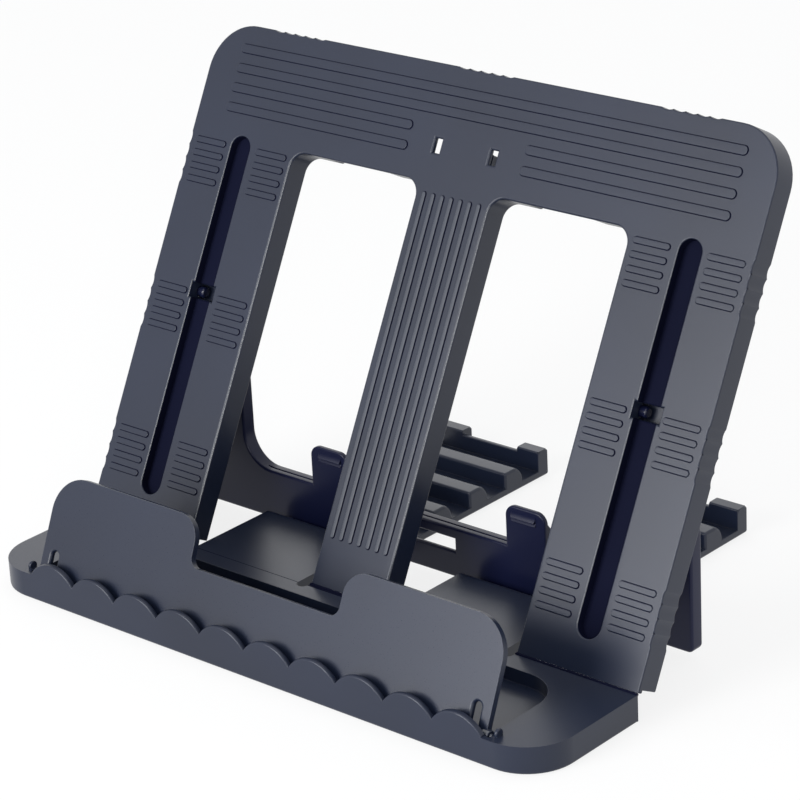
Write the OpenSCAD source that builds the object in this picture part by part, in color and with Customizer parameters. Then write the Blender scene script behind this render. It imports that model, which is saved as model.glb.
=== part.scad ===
// Folding book stand in moulded plastic. A shelf with two ratchet arms carries a back
// panel on film hinges, a leg frame props the panel, and a flap holds the pages open.
// X runs along the shelf, Y runs from the reader to the back, Z is up.

/* [Stand] */
// Width of the shelf and of the back panel
stand_w = 243; // [220:1:280]
// Height of the rims round the shelf and the panel
rim_h = 9.6; // [9:0.1:12]
// Thickness of the moulded sheets
sheet_t = 2.2; // [1.8:0.1:2.4]
// Thickness of the rims and side walls
wall_t = 2; // [1.4:0.1:2.4]
// Thickness of the film that forms the hinge
film_t = 0.8; // [0.6:0.1:1]

/* [Shelf] */
// Depth of the shelf, from its front face to the hinge line
shelf_d = 50; // [48:1:60]
// Radius of the shelf's front corners
shelf_r = 17.5; // [10:0.5:20]
// Number of scallops along the front lip
scallops = 10; // [8:1:12]
// Rise of each scallop above its valleys
scallop_rise = 5.2; // [3:0.1:6]
// Height of the valleys above the shelf
valley_rise = 0.4; // [0.2:0.1:1]
// Thickness of the scalloped lip
lip_t = 2; // [1.5:0.1:2.2]

/* [Pocket] */
// Distance from each side of the shelf to the pocket for the folded flap
pocket_side = 21.5; // [20:0.5:24]
// Distance from the hinge line to the back of the pocket
pocket_back = 8.3; // [7:0.1:9]
// Room under the folded flap
pocket_room = 2.6; // [1:0.1:2.8]
// Radius of the pocket's back corners
pocket_r = 14.5; // [8:0.5:15]

/* [Arms] */
// Width of each ratchet arm
arm_w = 48.3; // [40:0.1:50]
// Depth of the last wall with its lugs
stop_d = 5.6; // [4:0.1:6]
// Thickness of the floor between the ridges
floor_t = 2.8; // [2:0.1:3]
// Length of the level deck in front of the first slot
deck_len = 34.8; // [28:0.1:35]
// Distance from the hinge line to the front of the first ridge
ridge_first = 49.3; // [49.3:0.1:50]
// Distance from one ridge to the next
ridge_pitch = 20; // [19.8:0.1:20]
// Height of the ridges above the table
ridge_h = 8.8; // [7:0.1:9]
// Length of the flat top of a ridge
ridge_top = 5.6; // [4:0.1:6]
// Length of the rounded back of a ridge
ridge_back = 4.6; // [3:0.1:5]
// Width of the outer lug on the last wall
lug_w = 12.4; // [8:0.1:15]
// Height of the raised lugs above the table
lug_h = 10.5; // [9.2:0.1:11]
// Length of the slits in front of the hinge line
slit_front = 3.5; // [2.5:0.1:4.5]

/* [Panel] */
// Height of the band above the panel's windows
top_band = 40; // [38:0.5:60]
// Radius of the panel's top corners
panel_r = 17.5; // [12:0.5:30]
// Lean of the panel from the vertical, in its steepest position
panel_tilt = 27.5; // [26:0.1:28]
// Width of the bar between the two windows
bar_w = 31.4; // [30:0.1:34]
// Width of each window
window_w = 57.2; // [54:0.1:60]
// Room between the end of an arm and its window when the stand is folded flat
arm_room = 6.5; // [2:0.1:8]
// Radius of the windows' top corners
window_r = 6; // [4:1:12]
// Width of the long channels in the side columns
channel_w = 9; // [7:0.1:9.4]
// Distance from the hinge line to the bottom of the channels
channel_start = 11.6; // [9:0.1:20]
// Rise of the channels past the top of the windows
channel_rise = 1.1; // [0:0.1:6]
// Depth of the channels
channel_depth = 3.4; // [2:0.1:3.6]

/* [Grip pattern] */
// Height of the grip ribs on the panel's face
grip_rise = 0.5; // [0.3:0.1:0.8]
// Width of a short grip rib
grip_w = 2; // [1.6:0.1:2.4]
// Length of a short grip rib
grip_len = 14.4; // [10:0.1:14.6]
// Distance from one short grip rib to the next
grip_pitch = 4.7; // [4:0.1:5]
// Number of short grip ribs in a group
grip_count = 4; // [2:1:4]
// Width of a long rib in the top band
band_w = 3; // [2:0.1:3.4]
// Distance from one long rib to the next
band_pitch = 7.05; // [6:0.05:7.2]
// Distance from the top of the panel to the highest long rib
band_drop = 8.5; // [6:0.1:9]
// Half of the length of the long ribs
band_reach = 108.4; // [90:0.1:109]
// Half of the gap in the middle of the two lower long ribs
band_gap = 24.4; // [22:0.1:40]
// Number of long ribs on the middle bar
flutes = 7; // [3:1:7]
// Distance from one of the middle bar's ribs to the next
flute_pitch = 3.95; // [3:0.05:4]
// Width of one of the middle bar's ribs
flute_w = 1.4; // [1.2:0.1:2.2]
// Depth of the finger grooves in the panel's rim
groove_depth = 0.5; // [0.3:0.1:0.8]
// Cut back at the foot of the rim, clear of the hinge
rim_foot = 1; // [0.6:0.1:2]

/* [Leg] */
// Distance from the hinge line to the leg's pivot, along the panel
pivot_up = 85.2; // [85:0.1:85.6]
// Depth of the leg's pivot behind the panel's face
pivot_deep = 6.2; // [6.2:0.05:6.3]
// Radius of the leg's pivot pins
pin_r = 2; // [1.6:0.1:2.1]
// Width of each side of the leg frame
leg_side = 27.5; // [24:0.1:28]
// Thickness of the leg frame, with its rims
leg_t = 5.9; // [5.6:0.1:6]
// Thickness of the leg frame's front plate
leg_plate = 2; // [1.6:0.1:2.4]
// Height of the leg frame's bottom bar
leg_bar = 18.5; // [17:0.1:20]
// Radius inside the leg frame's lower corners
leg_fillet = 12; // [6:1:14]
// Radius of the leg frame's outer lower corners
foot_r = 2; // [1:0.5:6]
// Room between the foot of the leg and the floor of its slot
foot_room = 0.31; // [0.2:0.01:0.6]
// Width of a finger tab
tab_w = 17; // [12:0.1:20]
// Height of a finger tab above the bar
tab_h = 15; // [8:0.1:15.5]
// Width of the catch window in the bottom bar
catch_w = 25; // [22:0.1:27]
// Height of the catch window in the bottom bar
catch_h = 4.7; // [4.2:0.1:5.2]
// Distance from the foot of the leg to the middle of the catch window
catch_up = 12.1; // [10:0.1:12.4]

/* [Flap] */
// Room between the tip of the folded flap and the back of the pocket
flap_room = 1.9; // [0.8:0.1:3]
// Rise of the flap's ears above its middle
ear_rise = 16.3; // [14:0.1:20]
// Distance from the middle to the inner side of an ear
ear_in = 32.6; // [26:0.1:40]
// Radius of the ears' inner corners
ear_inner_r = 8.5; // [4:0.5:9]
// Radius where the ears meet the middle
ear_foot_r = 3.5; // [2:0.5:4]
// Thickness of the flap
flap_t = 2.3; // [2:0.1:2.4]
// Radius of the flap's pins
flap_pin_r = 1; // [0.8:0.05:1.1]
// Lean of the flap from the vertical
flap_tilt = 23.4; // [16:0.1:26]
// Distance of the flap's pins behind the lip
flap_gap = 2.1; // [2:0.1:2.6]
// Width of the spring slots near the flap's ends
spring_w = 3.2; // [2.4:0.1:3.6]
// Height of the spring slots
spring_h = 9.2; // [6:0.1:10]

/* [Hidden] */
$fn = 64;
eps = 0.01;
// Running clearance round a pin
run = 0.05;
half_w = stand_w / 2;
tilt_turn = 90 - panel_tilt;
window_x = (bar_w + window_w) / 2;
column_x = window_x + window_w / 2;
channel_x = (half_w + column_x) / 2;
slit_w = (window_w - arm_w) / 2;
slit_x = [window_x - (arm_w + slit_w) / 2, window_x + (arm_w + slit_w) / 2];

// The arms nest in the panel's windows when the stand is folded flat
last_ridge = 3;
stop_y = ridge_first + (last_ridge + 1) * ridge_pitch - 0.9;
lug_in = lug_w - 2.4;
arm_len = stop_y + stop_d;
window_top = arm_len + arm_room;
panel_len = window_top + top_band;
channel_end = window_top + channel_rise;
origin_y = (arm_len - shelf_d) / 2;

// The pocket, the flap in it and the lip in front of it share one width
pocket_w = stand_w - 2 * pocket_side;
lip_w = pocket_w - 1;
scallop_pitch = lip_w / scallops;
scallop_r = (pow(scallop_pitch / 2, 2) + pow(scallop_rise, 2)) / (2 * scallop_rise);
lip_back = -shelf_d + lip_t;
pocket_depth = flap_t + pocket_room;

// The flap's face lies flush with the shelf when it is folded down
flap_axis_z = rim_h - flap_t / 2;
flap_axis_y = lip_back + flap_gap;
knob_r = flap_pin_r + 1;
recess_r = knob_r + 0.6;
recess_d = 1.4;
bore_d = 3.6;
boss_r = 1.7;
flap_w = pocket_w - 1.9;
ear_h = -flap_axis_y - pocket_back - flap_room;
flap_mid = ear_h - ear_rise;
ear_r = pocket_r - 1.5;

// The hinge bead stands on the edge of the shelf and the panel starts just clear of it
bead_r = film_t / 2;
panel_start = bead_r + 0.1;

// Height and side room of the opening that shows each leg pin
notch_h = 2 * pin_r + 1.3;
trough_side = 1.2;
notch_w = channel_w + 2 * trough_side;
clip_t = 1.6;
clip_back = 1.1;
ear_gap = notch_w / 2 + clip_t + 0.3;

// The leg hangs from its pivot to the floor of a slot, its front face ahead of the pivot
leg_front = 2.64;
leg_reach = rim_h + pivot_up * cos(panel_tilt) - pivot_deep * sin(panel_tilt) - floor_t - foot_room;
leg_w = 2 * channel_x + leg_side + 1.2;
catch_down = leg_reach - catch_up;
hook_x = catch_w / 2 - 2;
tab_centre = window_x - 0.6;
tab_r = 4;
tab_notch = tab_w + 9;

// Thickness left under a channel, and the lower end of each group of short ribs
trough_t = 1.6;
group_len = (grip_count - 1) * grip_pitch;
groups = [channel_start + 5.7, pivot_up - group_len - 1, channel_end - group_len - 4.3];

// Puts a child on the sloping panel: X across, Y up the slope, Z out of its face
module on_panel() {
  translate([0, 0, rim_h]) rotate([tilt_turn, 0, 0]) children();
}

// Moves a child from the hinge line's origin to the origin of the whole stand
module seated() {
  translate([0, -origin_y, 0]) children();
}

// Both sides of the stand
module both_sides() {
  children();
  mirror([1, 0, 0]) children();
}

// Rectangle from y0 to y1, w wide, with its two corners at y1 rounded
module tongue(w, y0, y1, r) {
  translate([-w / 2, y0]) square([w, y1 - y0 - r]);
  translate([-w / 2 + r, y0]) square([w - 2 * r, y1 - y0]);
  for (side = [-1, 1]) translate([side * (w / 2 - r), y1 - r]) circle(r);
}

// Slot with round ends, from x0 to x1 along X
module slot_across(x0, x1, w) {
  translate([x0 + w / 2, -w / 2]) square([x1 - x0 - w, w]);
  for (x = [x0 + w / 2, x1 - w / 2]) translate([x, 0]) circle(w / 2);
}

// Slot with round ends, from y0 to y1 along Y
module slot_along(y0, y1, w) {
  translate([-w / 2, y0 + w / 2]) square([w, y1 - y0 - w]);
  for (y = [y0 + w / 2, y1 - w / 2]) translate([0, y]) circle(w / 2);
}

// Shelf seen from above, drawn in by inset on all sides
module shelf_outline(inset) {
  mirror([0, 1]) tongue(stand_w - 2 * inset, inset, shelf_d - inset, shelf_r - inset);
}

// Pocket seen from above, widened by grow
module pocket_outline(grow) {
  tongue(pocket_w + 2 * grow, lip_back - grow, -pocket_back + grow, pocket_r + grow);
}

// Level shelf with its rim and the pocket for the folded flap
module shelf() {
  difference() {
    linear_extrude(rim_h) shelf_outline(0);
    translate([0, 0, rim_h - pocket_depth]) linear_extrude(pocket_depth + eps) pocket_outline(0);
    translate([0, 0, -eps]) linear_extrude(rim_h - pocket_depth - sheet_t + eps)
      shelf_outline(wall_t);
    translate([0, 0, -eps]) linear_extrude(rim_h - sheet_t + eps) difference() {
      shelf_outline(wall_t);
      pocket_outline(wall_t);
    }
    both_sides() for (x = slit_x) translate([x, 0, -eps]) linear_extrude(rim_h + 2 * eps)
      slot_along(-slit_front, slit_w, slit_w);
  }
}

// Row of scallops on top of the front wall
module scalloped_lip() {
  centre = rim_h + valley_rise + scallop_rise - scallop_r;
  translate([0, lip_back, 0]) rotate([90, 0, 0]) linear_extrude(lip_t) {
    translate([-lip_w / 2, wall_t]) square([lip_w, rim_h + valley_rise - wall_t]);
    for (i = [0:scallops - 1]) intersection() {
      translate([(i + 0.5) * scallop_pitch - lip_w / 2, centre]) circle(scallop_r);
      translate([i * scallop_pitch - lip_w / 2, rim_h])
        square([scallop_pitch, valley_rise + scallop_rise]);
    }
  }
}

// Bearing blocks beside the pocket, under the shelf, each with a round boss on top
module flap_bearings() {
  both_sides() translate([pocket_w / 2, flap_axis_y, 0]) {
    translate([0, -flap_gap - eps, sheet_t])
      cube([bore_d + wall_t, flap_gap + recess_r + wall_t, rim_h - sheet_t - eps]);
    translate([bore_d - 1.2, 0.2, rim_h + 0.8]) rotate([0, 90, 0]) cylinder(h = 1.3, r = boss_r);
  }
}

// Round recesses in the pocket's ends, each with a blind bore for a flap pin
module flap_bores() {
  both_sides() translate([pocket_w / 2 - eps, flap_axis_y, flap_axis_z]) rotate([0, 90, 0]) {
    cylinder(h = recess_d + eps, r = recess_r);
    cylinder(h = bore_d + eps, r = flap_pin_r + run);
  }
}

// Side view of an arm: level deck, floor, ridges and the last wall
module arm_profile() {
  deck_drop = rim_h - floor_t;
  translate([-wall_t, 0]) square([arm_len + wall_t, floor_t]);
  translate([-wall_t, 0]) square([deck_len + wall_t, rim_h]);
  translate([deck_len - eps, 0]) polygon([
    [0, 0],
    for (a = [90:-7.5:0]) [ridge_back * cos(a) + eps, floor_t + deck_drop * sin(a)],
    [ridge_back, 0]
  ]);
  for (i = [0:last_ridge]) translate([ridge_first + i * ridge_pitch, 0]) polygon([
    [0, 0],
    [0, ridge_h],
    for (a = [90:-7.5:0])
      [ridge_top + ridge_back * cos(a), floor_t + (ridge_h - floor_t) * sin(a)],
    [ridge_top + ridge_back, 0]
  ]);
  translate([stop_y, 0]) square([wall_t, ridge_h]);
}

// Hollows under the deck and under each ridge
module arm_hollows() {
  inner_w = arm_w - 2 * wall_t;
  translate([-inner_w / 2, 0, -eps]) {
    cube([inner_w, deck_len - wall_t, rim_h - sheet_t + eps]);
    for (i = [0:last_ridge]) translate([0, ridge_first + i * ridge_pitch + wall_t, 0])
      cube([inner_w, ridge_top - wall_t + 1, ridge_h - sheet_t + eps]);
  }
}

// Raised lug at one end of the last wall, w wide
module stop_lug(w) {
  translate([0, stop_y, 0]) rotate([90, 0, 90]) linear_extrude(w) polygon([
    [0, 0],
    [0, lug_h - 0.4],
    [0.4, lug_h],
    [stop_d - 0.6, lug_h],
    [stop_d, lug_h - 0.6],
    [stop_d, 0]
  ]);
}

module ratchet_arm() {
  difference() {
    translate([-arm_w / 2, 0, 0]) rotate([90, 0, 90]) linear_extrude(arm_w) arm_profile();
    arm_hollows();
  }
  translate([arm_w / 2 - lug_w, 0, 0]) stop_lug(lug_w);
  translate([-arm_w / 2, 0, 0]) stop_lug(lug_in);
}

// Film hinge: a thin bead along the hinge line under each foot of the panel
module film_hinges() {
  column_w = half_w - column_x;
  for (foot = [[-half_w, column_w], [-bar_w / 2, bar_w], [column_x, column_w]])
    translate([foot[0], 0, rim_h]) rotate([0, 90, 0])
      cylinder(h = foot[1], r = bead_r, $fn = 24);
}

module base() {
  color("#3d404a") seated() {
    difference() {
      union() {
        shelf();
        scalloped_lip();
        flap_bearings();
      }
      flap_bores();
    }
    both_sides() translate([window_x, 0, 0]) ratchet_arm();
    film_hinges();
  }
}

// Windows seen square to the panel, widened by grow
module window_outlines(grow) {
  for (side = [-1, 1]) translate([side * window_x, 0])
    tongue(window_w + 2 * grow, -1, window_top + grow, window_r + grow);
}

// Panel seen square to its face, drawn in by inset
module panel_outline(inset) {
  tongue(stand_w - 2 * inset, inset, panel_len - inset, panel_r - inset);
}

// Short ribs on both sides of each channel, at three heights, and the long ones on top
module grip_pattern() {
  for (low = groups) for (i = [0:grip_count - 1])
    both_sides() for (x = [column_x + 2.3, half_w - 3 - grip_len])
      translate([x, low + i * grip_pitch]) slot_across(0, grip_len, grip_w);
  for (i = [0:1]) translate([0, panel_len - band_drop - i * band_pitch])
    slot_across(-band_reach, band_reach, band_w);
  for (i = [2:3]) translate([0, panel_len - band_drop - i * band_pitch])
    both_sides() slot_across(band_gap, band_reach, band_w);
  for (i = [0:flutes - 1]) translate([(i - (flutes - 1) / 2) * flute_pitch, 0])
    slot_along(channel_start + 5.4, window_top - 3.5, flute_w);
}

// Upright finger grooves scooped out of the panel's rim
module rim_grooves() {
  scoop_r = (pow(grip_pitch / 2, 2) + pow(groove_depth, 2)) / (2 * groove_depth);
  deep = rim_h + 1;
  for (low = groups) for (i = [0:grip_count - 1])
    both_sides() translate([half_w + scoop_r - groove_depth, low + i * grip_pitch, -rim_h - 0.5])
      cylinder(h = deep, r = scoop_r);
  for (x = [-1, 0, 1]) for (i = [-2:2])
    translate([x * 0.69 * half_w + i * grip_pitch, panel_len + scoop_r - groove_depth, -rim_h - 0.5])
      cylinder(h = deep, r = scoop_r);
}

// Solid housings on the panel's back, round the places of the leg's pins
module pin_housings() {
  housing_w = notch_w + 2 * clip_t;
  housing_h = 2 * (pin_r + wall_t);
  both_sides() translate([channel_x - housing_w / 2, pivot_up - housing_h / 2, -rim_h])
    cube([housing_w, housing_h, rim_h - eps]);
}

// Opening in the panel's face at each housing, and the bores for the pins in its side walls
module pin_openings() {
  both_sides() translate([channel_x, pivot_up, 0]) {
    translate([-notch_w / 2, -notch_h / 2, clip_back - rim_h])
      cube([notch_w, notch_h, rim_h]);
    translate([-ear_gap, 0, -pivot_deep]) rotate([0, 90, 0])
      cylinder(h = 2 * ear_gap, r = pin_r + run);
  }
}

// Two snap hooks on the panel's back that catch the folded leg's bar
module leg_catches() {
  hook_t = 1.4;
  hook_h = 3.4;
  hook_deep = 8.4;
  both_sides() translate([hook_x - hook_t, pivot_up + catch_down - hook_h / 2, 0]) {
    translate([0, 0, -hook_deep]) cube([hook_t, hook_h, hook_deep - sheet_t + eps]);
    translate([hook_t - eps, 0, -hook_deep]) rotate([90, 0, 0]) mirror([0, 0, 1])
      linear_extrude(hook_h) polygon([[0, 0], [0, 1.6], [catch_w / 2 - hook_x + 0.4, 0.9]]);
  }
}

module back_panel() {
  hook_hole = [2.8, 5];
  color("#474a55") seated() on_panel() {
    difference() {
      union() {
        difference() {
          translate([0, 0, -rim_h]) linear_extrude(rim_h) difference() {
            panel_outline(0);
            window_outlines(0);
            translate([-half_w, -1]) square([stand_w, 1 + panel_start]);
          }
          translate([0, 0, -rim_h - eps]) linear_extrude(rim_h - sheet_t + eps) difference() {
            panel_outline(wall_t);
            window_outlines(wall_t);
            translate([-half_w, 0]) square([stand_w, panel_start + rim_foot + wall_t]);
          }
        }
        pin_housings();
        both_sides() translate([channel_x, 0, -channel_depth - trough_t])
          linear_extrude(channel_depth + trough_t - eps)
            slot_along(channel_start - trough_side, channel_end + trough_side, notch_w);
      }
      both_sides() translate([channel_x, 0, -channel_depth]) linear_extrude(channel_depth + eps)
        slot_along(channel_start, channel_end, channel_w);
      pin_openings();
      rim_grooves();
      translate([-half_w - 1, -1, -rim_h - 1])
        cube([stand_w + 2, 1 + panel_start + rim_foot, rim_h + 1 - sheet_t]);
      both_sides() translate([tab_centre - tab_notch / 2, window_top - 1, -rim_h - 1])
        cube([tab_notch, wall_t + 1 + eps, rim_h + 1 - sheet_t]);
      both_sides() translate([hook_x + 0.1, pivot_up + catch_down + 0.7 - hook_hole[1] / 2, -rim_h])
        cube([hook_hole[0], hook_hole[1], rim_h + eps]);
    }
    translate([0, 0, -eps]) linear_extrude(grip_rise + eps) grip_pattern();
    leg_catches();
  }
}

// Leg frame seen from the front, drawn in by inset: two sides, bottom bar, round corners
module leg_outline(inset) {
  opening_w = leg_w - 2 * leg_side;
  difference() {
    mirror([0, 1]) tongue(leg_w - 2 * inset, -pin_r - 1 + inset, leg_reach - inset, foot_r - inset);
    translate([0, -leg_reach + leg_bar - inset]) mirror([0, 1])
      translate([0, -leg_reach - leg_bar]) tongue(opening_w + 2 * inset, 0, leg_reach + leg_bar,
        leg_fillet + inset);
  }
}

// Finger tab on top of the bar, with two sloping grip ribs and a gusset behind each side
module finger_tab() {
  gusset_t = 1.6;
  translate([0, 0, -leg_reach + leg_bar]) {
    rotate([90, 0, 0]) translate([0, 0, -leg_plate]) linear_extrude(leg_plate)
      tongue(tab_w, -wall_t, tab_h, tab_r);
    for (x = [-tab_w / 2, tab_w / 2 - gusset_t]) translate([x, 0, 0]) rotate([90, 0, 90])
      linear_extrude(gusset_t) polygon([
        [leg_plate - eps, -wall_t],
        [leg_plate - eps, tab_h - tab_r],
        [leg_t, tab_h - tab_r - 5],
        [leg_t, -wall_t]
      ]);
    for (rib = [[4, 1.2, 2.3], [5.2, 0.8, 1.1]]) translate([-5.8, 0, tab_h - rib[0]])
      rotate([90, 0, 90]) linear_extrude(10.4) polygon([[eps, 0], [-rib[1], 0], [eps, rib[2]]]);
  }
}

// Leg frame about its pivot, hanging straight down
module leg_body() {
  front = -leg_front;
  back = front + leg_t;
  notch_low = 14;
  pin_end = notch_w / 2 - 2.1;
  difference() {
    translate([0, back, 0]) rotate([90, 0, 0]) linear_extrude(leg_t) leg_outline(0);
    translate([0, back + eps, 0]) rotate([90, 0, 0]) linear_extrude(leg_t - leg_plate + eps)
      leg_outline(wall_t);
    both_sides() translate([channel_x - ear_gap, front - eps, -notch_low])
      cube([2 * ear_gap, leg_t + 2 * eps, notch_low + leg_reach]);
    translate([-catch_w / 2, front - eps, -catch_down - catch_h / 2])
      cube([catch_w, leg_t + 2 * eps, catch_h]);
    translate([-leg_w, front - 10, pin_r]) cube([2 * leg_w, 20 + leg_t, leg_reach]);
    translate([leg_side - leg_w / 2, front + leg_plate + 0.3, -leg_reach + leg_bar - 0.6])
      cube([leg_w - 2 * leg_side, 0.6, 1]);
  }
  both_sides() translate([channel_x, 0, 0]) for (turn = [-90, 90]) rotate([0, turn, 0]) {
    translate([0, 0, pin_end]) cylinder(h = ear_gap + wall_t - pin_end, r = pin_r);
    translate([0, 0, pin_end - 0.5]) cylinder(h = 0.5, r1 = pin_r - 0.5, r2 = pin_r);
  }
  both_sides() translate([tab_centre, front, 0]) finger_tab();
}

module leg_frame() {
  color("#33353f") seated() on_panel() translate([0, pivot_up, -pivot_deep])
    rotate([-tilt_turn, 0, 0]) leg_body();
}

// Flap seen from the front, standing on its pins
module flap_outline() {
  half = flap_w / 2;
  rise = ear_h - flap_mid;
  translate([-half, 0]) square([flap_w, flap_mid]);
  both_sides() translate([0, flap_mid - eps]) {
    translate([ear_in, 0]) square([half - ear_in, rise - ear_r]);
    translate([ear_in, 0]) square([half - ear_in - ear_r, rise - ear_inner_r]);
    translate([ear_in + ear_inner_r, 0]) square([half - ear_in - ear_inner_r - ear_r, rise]);
    translate([half - ear_r, rise - ear_r]) circle(ear_r);
    translate([ear_in + ear_inner_r, rise - ear_inner_r]) circle(ear_inner_r);
    translate([ear_in - ear_foot_r, 0]) difference() {
      square([ear_foot_r + eps, ear_foot_r]);
      translate([0, ear_foot_r]) circle(ear_foot_r);
    }
  }
}

module page_flap() {
  half = flap_w / 2;
  spring_x = half - 4.1 - spring_w / 2;
  knob_len = 1.1;
  pin_len = pocket_w / 2 + bore_d - 0.3 - half;
  color("#5a5e68") seated() translate([0, flap_axis_y, flap_axis_z])
    rotate([-flap_tilt, 0, 0]) {
      difference() {
        union() {
          translate([0, flap_t / 2, 0]) rotate([90, 0, 0]) linear_extrude(flap_t) flap_outline();
          translate([-half, 0, 0]) rotate([0, 90, 0]) cylinder(h = flap_w, r = flap_t / 2);
        }
        both_sides() translate([spring_x, flap_t, 0]) rotate([90, 0, 0])
          linear_extrude(2 * flap_t) slot_along(-spring_w, spring_h, spring_w);
      }
      both_sides() translate([half - 2, 0, 0]) rotate([0, 90, 0]) {
        cylinder(h = knob_len + 2, r = knob_r);
        cylinder(h = pin_len + 2, r = flap_pin_r);
      }
    }
}

base();
back_panel();
leg_frame();
page_flap();
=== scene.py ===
import math

import bmesh
import bpy
from mathutils import Matrix, Vector
from mathutils.geometry import delaunay_2d_cdt


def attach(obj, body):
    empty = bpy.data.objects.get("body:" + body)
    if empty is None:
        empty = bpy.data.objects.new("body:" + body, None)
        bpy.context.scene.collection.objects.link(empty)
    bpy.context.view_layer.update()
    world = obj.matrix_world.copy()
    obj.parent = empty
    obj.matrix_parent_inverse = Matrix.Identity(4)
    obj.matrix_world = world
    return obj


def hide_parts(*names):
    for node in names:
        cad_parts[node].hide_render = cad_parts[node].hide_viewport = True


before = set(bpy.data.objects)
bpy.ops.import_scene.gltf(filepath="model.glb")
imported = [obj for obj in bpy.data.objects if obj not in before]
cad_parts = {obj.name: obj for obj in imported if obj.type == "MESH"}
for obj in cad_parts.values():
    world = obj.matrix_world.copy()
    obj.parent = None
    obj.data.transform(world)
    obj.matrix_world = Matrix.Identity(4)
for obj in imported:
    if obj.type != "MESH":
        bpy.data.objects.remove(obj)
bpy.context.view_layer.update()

MM = 0.001
scene = bpy.context.scene
scene.view_settings.view_transform = "Standard"

# The hinge line between shelf and panel, and the directions of the panel's face as it stands:
# up along the face and out of it
HINGE_Y = -42 * MM
HINGE = Vector((0, HINGE_Y, 9.6 * MM))
LEAN = math.radians(27.5)
FACE_UP = Vector((0, math.sin(LEAN), math.cos(LEAN)))
FACE_OUT = Vector((0, -math.cos(LEAN), math.sin(LEAN)))


def make_camera():
    """Camera at the photograph's place, turned by the three angles fitted to its edges."""
    yaw, pitch, roll = math.radians(41.89), math.radians(22.41), math.radians(2.93)
    place = Vector((661.93 * MM, -705.78 * MM + HINGE_Y, 477.94 * MM))
    forward = Vector((-math.sin(yaw) * math.cos(pitch), math.cos(yaw) * math.cos(pitch),
                      -math.sin(pitch)))
    level = Vector((math.cos(yaw), math.sin(yaw), 0))
    down = forward.cross(level)
    right = math.cos(roll) * level + math.sin(roll) * down
    up = math.sin(roll) * level - math.cos(roll) * down
    turn = Matrix((right, up, -forward)).transposed().to_4x4()
    data = bpy.data.cameras.new("camera")
    data.sensor_width = 36
    data.lens = 144.9
    data.clip_start = 0.05
    data.clip_end = 50
    cam = bpy.data.objects.new("camera", data)
    scene.collection.objects.link(cam)
    cam.matrix_world = Matrix.Translation(place) @ turn
    scene.camera = cam


make_camera()


# Lights, sky and floor
def area_light(name, place, target, size, power):
    data = bpy.data.lights.new(name, "AREA")
    data.shape = "RECTANGLE"
    data.size, data.size_y = size
    data.energy = power
    lamp = bpy.data.objects.new(name, data)
    scene.collection.objects.link(lamp)
    place, target = Vector(place), Vector(target)
    turn = (target - place).to_track_quat("-Z", "Y").to_matrix().to_4x4()
    lamp.matrix_world = Matrix.Translation(place) @ turn


# A broad softbox low in front, one behind on the left that the level faces mirror, one on
# the right for the side faces, one above, and a small one beside the camera for the edges
area_light("front", (-0.37, -1.5, 0.58), (0, 0, 0.08), (0.8, 0.8), 23.5)
area_light("back_left", (-1.3, 1.35, 0.8), (0, 0, 0.02), (0.9, 0.6), 1.7)
area_light("right", (1.5, 0.6, 0.5), (0, 0, 0.08), (0.9, 0.8), 0.8)
area_light("above", (-0.1, 0.3, 1.7), (0, 0, 0.05), (1.2, 1.0), 3.5)
area_light("camera_side", (1.05, -1.15, 0.62), (0, 0, 0.08), (0.4, 0.4), 5)


def seen_rays(nodes, links):
    """Output that is 1 for rays from the camera, from gloss and through clear parts."""
    path = nodes.new("ShaderNodeLightPath")
    seen = path.outputs["Is Camera Ray"]
    for ray in ("Is Glossy Ray", "Is Transmission Ray"):
        either = nodes.new("ShaderNodeMath")
        either.operation = "MAXIMUM"
        links.new(seen, either.inputs[0])
        links.new(path.outputs[ray], either.inputs[1])
        seen = either.outputs[0]
    return seen


SKY_TINT = (0.96, 0.98, 1.0, 1)
SKY_LIGHT = 0.64


def make_sky():
    """Sky that is white where it is seen, and softer where it only lights the stand."""
    world = bpy.data.worlds.new("studio")
    scene.world = world
    world.use_nodes = True
    nodes, links = world.node_tree.nodes, world.node_tree.links
    nodes.clear()
    out = nodes.new("ShaderNodeOutputWorld")
    mix = nodes.new("ShaderNodeMixShader")
    soft = nodes.new("ShaderNodeBackground")
    soft.inputs["Color"].default_value = SKY_TINT
    soft.inputs["Strength"].default_value = SKY_LIGHT
    white = nodes.new("ShaderNodeBackground")
    white.inputs["Color"].default_value = (1, 1, 1, 1)
    white.inputs["Strength"].default_value = 1
    links.new(seen_rays(nodes, links), mix.inputs[0])
    links.new(soft.outputs[0], mix.inputs[1])
    links.new(white.outputs[0], mix.inputs[2])
    links.new(mix.outputs[0], out.inputs[0])


make_sky()

FLOOR_HALF = 6.0
FLOOR_DROP = 0.2 * MM
FLOOR_GREY = (0.93, 0.93, 0.93, 1)
# How much of the floor is plain white where it is seen: its shadows stay faint
FLOOR_WHITE = 0.82


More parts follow.
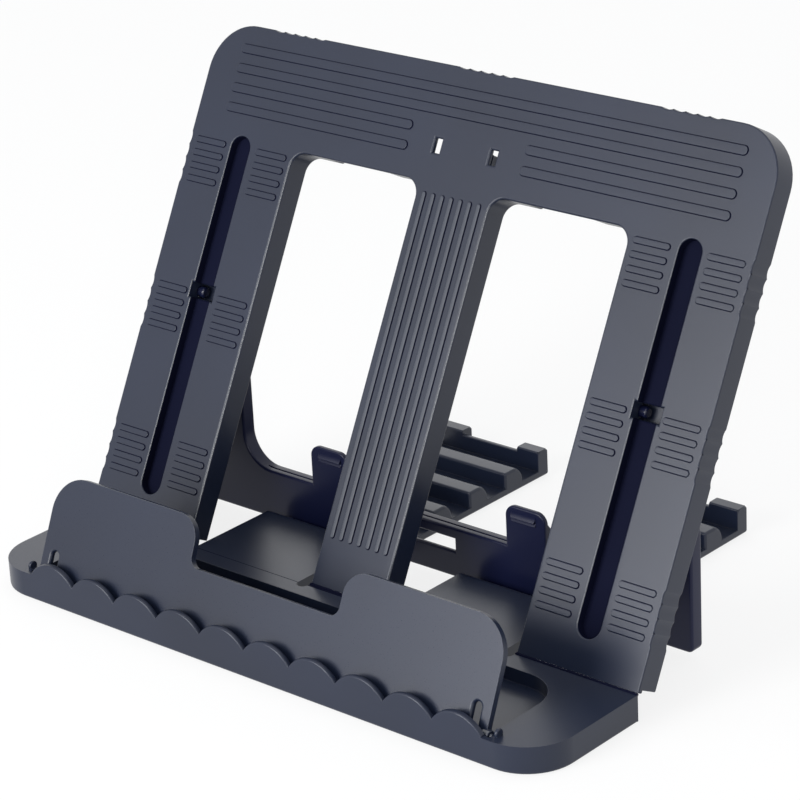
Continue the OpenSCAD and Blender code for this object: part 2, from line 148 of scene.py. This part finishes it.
def make_floor():
    mesh = bpy.data.meshes.new("floor")
    s = FLOOR_HALF
    mesh.from_pydata([(-s, -s, 0), (s, -s, 0), (s, s, 0), (-s, s, 0)], [], [(0, 1, 2, 3)])
    floor = bpy.data.objects.new("floor", mesh)
    scene.collection.objects.link(floor)
    mat = bpy.data.materials.new("floor")
    mat.use_nodes = True
    nodes, links = mat.node_tree.nodes, mat.node_tree.links
    bsdf = nodes["Principled BSDF"]
    bsdf.inputs["Base Color"].default_value = FLOOR_GREY
    bsdf.inputs["Roughness"].default_value = 0.9
    white = nodes.new("ShaderNodeEmission")
    white.inputs["Strength"].default_value = 1
    part = nodes.new("ShaderNodeMath")
    part.operation = "MULTIPLY"
    links.new(seen_rays(nodes, links), part.inputs[0])
    part.inputs[1].default_value = FLOOR_WHITE
    mix = nodes.new("ShaderNodeMixShader")
    links.new(part.outputs[0], mix.inputs[0])
    links.new(bsdf.outputs[0], mix.inputs[1])
    links.new(white.outputs[0], mix.inputs[2])
    links.new(mix.outputs[0], nodes["Material Output"].inputs["Surface"])
    mesh.materials.append(mat)
    floor.location.z = -FLOOR_DROP


make_floor()

# Moulded plastic: nearly black navy, with slight flow shades some 60 mm across and a
# spark-eroded grain of about 0.3 mm
FLOW_SCALE = 14
FLOW_SHADE = 0.15
GRAIN_SCALE = 3200
GRAIN_DEPTH = 0.02 * MM
SHEEN_SPREAD = 0.04


def plastic(name, colour, rough, specular=0.4):
    mat = bpy.data.materials.new(name)
    mat.use_nodes = True
    nodes, links = mat.node_tree.nodes, mat.node_tree.links
    bsdf = nodes["Principled BSDF"]
    bsdf.inputs["Specular IOR Level"].default_value = specular
    coord = nodes.new("ShaderNodeTexCoord")

    # Flow shades in the colour
    flow = nodes.new("ShaderNodeTexNoise")
    flow.inputs["Scale"].default_value = FLOW_SCALE
    flow.inputs["Detail"].default_value = 2
    links.new(coord.outputs["Object"], flow.inputs["Vector"])
    shade = nodes.new("ShaderNodeValToRGB")
    low, high = shade.color_ramp.elements
    low.position, high.position = 0.3, 0.7
    low.color = (*[c * (1 - FLOW_SHADE) for c in colour], 1)
    high.color = (*[c * (1 + FLOW_SHADE) for c in colour], 1)
    links.new(flow.outputs["Fac"], shade.inputs["Fac"])
    links.new(shade.outputs["Color"], bsdf.inputs["Base Color"])

    # Grain in the bump and in the sheen
    grain = nodes.new("ShaderNodeTexNoise")
    grain.inputs["Scale"].default_value = GRAIN_SCALE
    grain.inputs["Detail"].default_value = 3
    links.new(coord.outputs["Object"], grain.inputs["Vector"])
    bump = nodes.new("ShaderNodeBump")
    bump.inputs["Strength"].default_value = 0.25
    bump.inputs["Distance"].default_value = GRAIN_DEPTH
    links.new(grain.outputs["Fac"], bump.inputs["Height"])
    links.new(bump.outputs["Normal"], bsdf.inputs["Normal"])
    satin = nodes.new("ShaderNodeMapRange")
    satin.inputs["From Min"].default_value = 0.3
    satin.inputs["From Max"].default_value = 0.7
    satin.inputs["To Min"].default_value = rough - SHEEN_SPREAD
    satin.inputs["To Max"].default_value = rough + SHEEN_SPREAD
    links.new(grain.outputs["Fac"], satin.inputs["Value"])
    links.new(satin.outputs["Result"], bsdf.inputs["Roughness"])
    return mat


NAVY = (0.0096, 0.0142, 0.031)
# Painted shade: the leg's copy of the navy plastic is darker and less shiny, for the shade it
# stands in behind the panel
LEG_NAVY_PAINTED_SHADE = (0.0058, 0.0078, 0.030)
PLAIN = {
    "base": plastic("shelf_navy", NAVY, 0.33),
    "back_panel": plastic("panel_navy", NAVY, 0.33),
    "leg_frame": plastic("leg_navy_painted_shade", LEG_NAVY_PAINTED_SHADE, 0.33, 0.24),
    "page_flap": plastic("flap_navy", NAVY, 0.31),
}

# The same plastic darker and matt as painted shade in the rib flanks, channels and along the
# hinge, lighter and shiny as a painted highlight on edges facing the light, lighter and a
# little shinier as painted light on the middle ribs, and glossy on the leg's pins
PAINTED_SHADE = plastic("painted_shade_navy", (0.0050, 0.0060, 0.018), 0.6, 0.02)
PAINTED_HIGHLIGHT = plastic("painted_highlight_edge", (0.030, 0.036, 0.050), 0.27, 1.0)
RIBS_PAINTED_LIGHT = plastic("ribs_painted_light", (0.020, 0.026, 0.044), 0.38, 0.6)
PIN = plastic("pin_navy", (0.0070, 0.0090, 0.030), 0.14, 0.6)


# Rounded edges: a bevel on every sharp edge, of its node's width or narrower where a
# neighbouring edge is short
ROUNDING = {"base": 1.0 * MM, "back_panel": 0.8 * MM, "leg_frame": 1.0 * MM,
            "page_flap": 1.0 * MM}
SHARP = math.radians(28)
# Cosine of the angle within which two edges run on into each other
ALONG = math.cos(math.radians(40))
# Share of a neighbouring edge that a bevel may take
ROOM = 0.36
FLAP_ROOM = 0.46
# Folds stay nearly sharp, and the feet of the ribs on the panel's face are a little wider
FOLD = 0.1 * MM
RIB_FOOT = 0.26 * MM
ON_FACE = 0.02 * MM
# The edges along the hinge line lie this close to it and are nearly sharp too
HINGE_NEAR = 1.5 * MM
HINGE_FOLD = 0.06 * MM
# The panel's rim with its grip bumps starts at this distance from the middle
RIM_SIDE = 118.9 * MM
RIM_ROUNDING = 0.5 * MM
# Points closer than this, in metres, are one, and faces within this angle are one flat
SAME_POINT = 2e-6
SAME_FLAT = math.radians(0.5)


def sharp_edges(bm):
    return [e for e in bm.edges if len(e.link_faces) == 2
            and e.calc_face_angle(0) > SHARP]


def edge_room(edge):
    """Length of the shortest edge that meets this one across its direction."""
    room = 1.0
    for vert in edge.verts:
        way = (edge.other_vert(vert).co - vert.co).normalized()
        for other in vert.link_edges:
            if other is edge:
                continue
            span = other.other_vert(vert).co - vert.co
            if abs(way.dot(span.normalized())) < ALONG:
                room = min(room, span.length)
    return room


def edge_chains(edges):
    """Groups of sharp edges that run on into each other, in the same order each time."""
    left = set(edges)
    for first in edges:
        if first not in left:
            continue
        left.remove(first)
        chain, todo = [], [first]
        while todo:
            edge = todo.pop()
            chain.append(edge)
            for vert in edge.verts:
                way = (edge.other_vert(vert).co - vert.co).normalized()
                for other in vert.link_edges:
                    if other in left:
                        span = (other.other_vert(vert).co - vert.co).normalized()
                        if way.dot(span) < -ALONG:
                            left.remove(other)
                            todo.append(other)
        yield chain


def chain_radius(node, chain, width):
    """Rounding of a chain of edges: slight in folds and at the hinge line."""
    spots = [v.co - HINGE for e in chain for v in e.verts]
    if all(math.hypot(p.y, p.z) < HINGE_NEAR for p in spots):
        return HINGE_FOLD
    share = FLAP_ROOM if node == "page_flap" else ROOM
    room = share * min(edge_room(e) for e in chain)
    ridges = sum(e.is_convex for e in chain)
    if 2 * ridges > len(chain):
        if node == "back_panel" and max(abs(p.x) for p in spots) > RIM_SIDE:
            width = RIM_ROUNDING
        return min(width, room)
    if node == "back_panel" and all(abs(p.dot(FACE_OUT)) < ON_FACE for p in spots):
        return RIB_FOOT
    return min(FOLD, room)


def weighted_mesh(node, width):
    """Copy of a node's mesh with flat faces in one piece and a bevel weight on each edge."""
    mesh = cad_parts[node].data.copy()
    bm = bmesh.new()
    bm.from_mesh(mesh)
    bmesh.ops.remove_doubles(bm, verts=bm.verts, dist=SAME_POINT)
    bmesh.ops.dissolve_limit(bm, angle_limit=SAME_FLAT, verts=bm.verts, edges=bm.edges)
    layer = bm.edges.layers.float.new("bevel_weight_edge")
    for chain in edge_chains(sharp_edges(bm)):
        radius = chain_radius(node, chain, width)
        for edge in chain:
            edge[layer] = radius / width
    bm.to_mesh(mesh)
    bm.free()
    for face in mesh.polygons:
        face.use_smooth = True
    return mesh


def rounded_mesh(node, width):
    """Bevelled mesh of a node and the normals of its corners."""
    draft = bpy.data.objects.new("draft", weighted_mesh(node, width))
    scene.collection.objects.link(draft)
    bev = draft.modifiers.new("edges", "BEVEL")
    bev.width = width
    bev.segments = 3
    bev.limit_method = "WEIGHT"
    bev.use_clamp_overlap = False
    bev.loop_slide = False
    draft.modifiers.new("shade", "WEIGHTED_NORMAL").weight = 75
    graph = bpy.context.evaluated_depsgraph_get()
    mesh = bpy.data.meshes.new_from_object(draft.evaluated_get(graph))
    corners = [Vector(c.vector) for c in mesh.corner_normals]
    bpy.data.objects.remove(draft)
    return mesh, corners


# The triangulation keeps what lies inside the outline, and joins points this close, in
# millimetres
INSIDE = 1
JOIN = 1e-4


def cut_flat(points, face_normal):
    """Triangles that fill a flat outline, also where bevels let it cross itself a little."""
    across = face_normal.orthogonal().normalized()
    along = face_normal.cross(across)
    flat = [Vector((p.dot(across), p.dot(along))) / MM for p in points]
    outline = [range(len(flat))]
    verts, _, faces, origins, _, _ = delaunay_2d_cdt(flat, [], outline, INSIDE, JOIN)
    height = points[0].dot(face_normal)
    added = [(v.x * across + v.y * along) * MM + height * face_normal for v in verts]
    return added, faces, origins


def clean_faces(mesh, corners):
    """Points, faces and corner normals of a bevelled mesh, its large faces cut up."""
    verts = [Vector(v.co) for v in mesh.vertices]
    faces, normals = [], []
    for face in mesh.polygons:
        loops = list(face.loop_indices)
        ids = list(face.vertices)
        if len(ids) <= 4:
            faces.append(ids)
            normals += [corners[i] for i in loops]
            continue
        added, parts, origins = cut_flat([verts[i] for i in ids], Vector(face.normal))
        here = {}
        for k, source in enumerate(origins):
            if source:
                here[k] = (ids[source[0]], corners[loops[source[0]]])
            else:
                verts.append(added[k])
                here[k] = (len(verts) - 1, Vector(face.normal))
        for part in parts:
            faces.append([here[k][0] for k in part])
            normals += [here[k][1] for k in part]
    return verts, faces, normals


# Where the painted shade and painted highlights lie on the panel: heights up the face from
# the hinge line, distances sideways from the middle, and levels above the face, or below it
# where negative
FACE_LOW, FACE_HIGH, FACE_SIDE = 2 * MM, 177 * MM, 118 * MM
RIB_LOW, RIB_HIGH = 0.004 * MM, 0.36 * MM
BAR_SIDE, BAR_HIGH = 16 * MM, 141 * MM
CHANNEL_IN, CHANNEL_OUT, CHANNEL_HIGH = 92.2 * MM, 102.2 * MM, 142.2 * MM
CHANNEL_TOP, CHANNEL_FLOOR = -0.6 * MM, -3.7 * MM
EDGES_HIGH = 150 * MM
EDGES_TOP, EDGES_FLOOR = -0.01 * MM, -0.8 * MM
# The leg's pins turn on this axis, and their ends show in the channels
PIVOT_UP, PIVOT_DEEP = 85.2 * MM, 6.2 * MM
PIN_NEAR, PIN_IN, PIN_OUT = 3.2 * MM, 92 * MM, 103 * MM


def panel_finish(rise, up, side, normal):
    """Material of a face of the panel: painted shade, painted highlight, painted light on the
    middle ribs, or its plain plastic.
    """
    if RIB_LOW < rise < RIB_HIGH and side < FACE_SIDE:
        # Painted shade: the flanks of the ribs get the dark matt plastic
        return PAINTED_SHADE
    # Painted light: the tops of the middle bar's ribs get a lighter, a little shinier plastic
    if rise > RIB_HIGH and side < BAR_SIDE and up < BAR_HIGH:
        return RIBS_PAINTED_LIGHT
    # Painted shade: the insides of the channels get the dark matt plastic
    if (CHANNEL_FLOOR < rise < CHANNEL_TOP and CHANNEL_IN < side < CHANNEL_OUT
            and up < CHANNEL_HIGH):
        return PAINTED_SHADE
    # Painted highlight: slanting faces of the rounded edges beside the face, those that turn
    # towards the light, get the lighter, shinier plastic
    slanting = 0.35 < abs(normal.x) < 0.88 and abs(normal.dot(FACE_UP)) < 0.3
    if slanting and EDGES_FLOOR < rise < EDGES_TOP and up < EDGES_HIGH and side < FACE_SIDE:
        return PAINTED_HIGHLIGHT
    return PLAIN["back_panel"]


def finish(node, point, normal):
    """Material of a face of a node, from its middle and its normal."""
    spot = point - HINGE
    rise, up, side = spot.dot(FACE_OUT), spot.dot(FACE_UP), abs(point.x)
    # Painted shade along the hinge line, which also hides the glints of its nearly sharp
    # edges
    if node in ("base", "back_panel") and math.hypot(spot.y, spot.z) < HINGE_NEAR:
        return PAINTED_SHADE
    if node == "leg_frame":
        on_pin = math.hypot(rise + PIVOT_DEEP, up - PIVOT_UP) < PIN_NEAR
        return PIN if on_pin and PIN_IN < side < PIN_OUT else PLAIN[node]
    if node == "page_flap":
        # Painted highlight on the front of the flap's top edge
        on_front_of_top_edge = normal.z > 0.6 and 0.2 < -normal.y < 0.8
        return PAINTED_HIGHLIGHT if on_front_of_top_edge else PLAIN[node]
    if node == "back_panel" and FACE_LOW < up < FACE_HIGH:
        return panel_finish(rise, up, side, normal)
    return PLAIN[node]


def rounded_copy(node, width):
    """The piece that stands for a node: its shape with rounded edges, and faces in plain
    plastic, painted shade, painted highlights and painted light.
    """
    verts, faces, normals = clean_faces(*rounded_mesh(node, width))
    mesh = bpy.data.meshes.new(node + "_rounded")
    mesh.from_pydata(verts, [], faces)
    for face in mesh.polygons:
        face.use_smooth = True
    mesh.normals_split_custom_set(normals)
    used = [PLAIN[node]]
    for face in mesh.polygons:
        mat = finish(node, face.center, face.normal)
        if mat not in used:
            used.append(mat)
        face.material_index = used.index(mat)
    for mat in used:
        mesh.materials.append(mat)
    piece = bpy.data.objects.new("stand_" + node, mesh)
    scene.collection.objects.link(piece)
    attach(piece, node)
    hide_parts(node)


for node, width in ROUNDING.items():
    rounded_copy(node, width)

# The thin web that joins shelf and panel: three beads along the hinge line, from the first
# to the second of these distances from the middle, in millimetres
WEBS = ((-121.3, -73.1), (-15.5, 15.5), (73.1, 121.3))
WEB_RADIUS = 0.5 * MM


def hinge_film():
    bm = bmesh.new()
    lying = Matrix.Rotation(math.radians(90), 4, "Y")
    for left, right in WEBS:
        place = Matrix.Translation(((left + right) / 2 * MM, HINGE.y, HINGE.z))
        bmesh.ops.create_cone(bm, cap_ends=True, segments=20, radius1=WEB_RADIUS,
                              radius2=WEB_RADIUS, depth=(right - left) * MM,
                              matrix=place @ lying)
    mesh = bpy.data.meshes.new("hinge_film")
    bm.to_mesh(mesh)
    bm.free()
    # Painted shade: the web is in the dark matt plastic, a dark line along the hinge
    mesh.materials.append(PAINTED_SHADE)
    piece = bpy.data.objects.new("stand_hinge_film", mesh)
    scene.collection.objects.link(piece)
    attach(piece, "base")


hinge_film()
